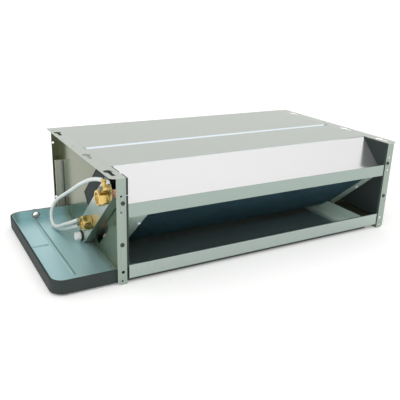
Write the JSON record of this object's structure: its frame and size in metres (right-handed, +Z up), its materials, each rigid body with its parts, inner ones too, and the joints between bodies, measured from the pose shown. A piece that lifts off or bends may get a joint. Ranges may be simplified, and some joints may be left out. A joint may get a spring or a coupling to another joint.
{
  "type": "fan coil unit",
  "caption": "Slim concealed ceiling fan coil unit: folded steel casing, slanted water coil over a drain pan with side extension, twin blowers on one motor and a slide-out filter.",
  "frame": {"origin": "middle of the whole unit's outline, at the level of the casing's underside", "axes": "+X along the unit from the water connections to the closed end, +Y from the air outlet to the filter, +Z up"},
  "size_m": [0.93, 0.4884, 0.2412],
  "materials": {
    "galvanised": "galvanised sheet, satin",
    "bright_sheet": "bright zinc",
    "pan_steel": "smooth steel",
    "black_foam": "closed-cell foam",
    "fin_blue": "blue coated fins",
    "copper": "copper pipe",
    "brass": "turned brass",
    "clear_hose": "translucent hose",
    "dark_plastic": "moulded",
    "motor_paint": "satin paint",
    "capacitor_case": "moulded",
    "mesh": "woven nylon"
  },
  "bodies": {
    "casing": {"left_side_panel": "galvanised", "right_side_panel": "galvanised", "front_top_panel": "galvanised", "rear_top_panel": "galvanised", "outlet_deflector": "bright_sheet", "outlet_lower_lip": "galvanised", "bottom_panel": "galvanised", "rear_panel": "galvanised", "left_lining": "black_foam", "right_lining": "black_foam", "drain_pan": "pan_steel", "pan_insulation": "black_foam", "drain_spout": "galvanised", "coil_fins": "fin_blue", "coil_tubes": "copper", "return_bends": "copper", "left_end_plate": "galvanised", "right_end_plate": "galvanised", "coil_end_cover": "galvanised", "upper_header": "copper", "lower_header": "copper", "upper_union": "brass", "lower_union": "brass", "air_vent": "brass", "drain_cock": "brass", "vent_hose": "clear_hose", "drain_hose": "clear_hose", "stub_pipe": "bright_sheet", "stub_washer": "black_foam", "fan_deck": "galvanised", "left_blower_housing": "galvanised", "right_blower_housing": "galvanised", "fan_motor": "motor_paint", "motor_bearings": "bright_sheet", "motor_cradle": "galvanised", "motor_straps": "galvanised", "capacitor": "capacitor_case", "terminal_box": "galvanised", "terminal_box_cover": "galvanised", "upper_filter_rail": "galvanised", "lower_filter_rail": "galvanised", "post_screws": "bright_sheet", "coil_screws": "bright_sheet", "flange_rivets": "bright_sheet"},
    "rotor": {"fan_shaft": "bright_sheet", "left_impeller": "dark_plastic", "right_impeller": "dark_plastic"},
    "filter": {"filter_frame": "dark_plastic", "filter_mesh": "mesh"},
    "vent_bleed": {"vent_screw": "bright_sheet"},
    "drain_bleed": {"drain_screw": "bright_sheet"}
  },
  "joints": [
    {"name": "fan_spin", "type": "hinge", "parent": "casing", "child": "rotor", "pos_m": [0.063, 0.1244, 0.118], "axis": [1, 0, 0], "continuous": true},
    {"name": "filter_slide", "type": "slide", "parent": "casing", "child": "filter", "axis": [-1, 0, 0], "range_m": [0, 0.72]},
    {"name": "vent_screw_turn", "type": "hinge", "parent": "casing", "child": "vent_bleed", "pos_m": [-0.346, -0.20967, 0.21194], "axis": [-1, 0, 0], "range_deg": [0, 360]},
    {"name": "drain_screw_turn", "type": "hinge", "parent": "casing", "child": "drain_bleed", "pos_m": [-0.3512, -0.06132, 0.08036], "axis": [-1, 0, 0], "range_deg": [0, 360]}
  ]
}
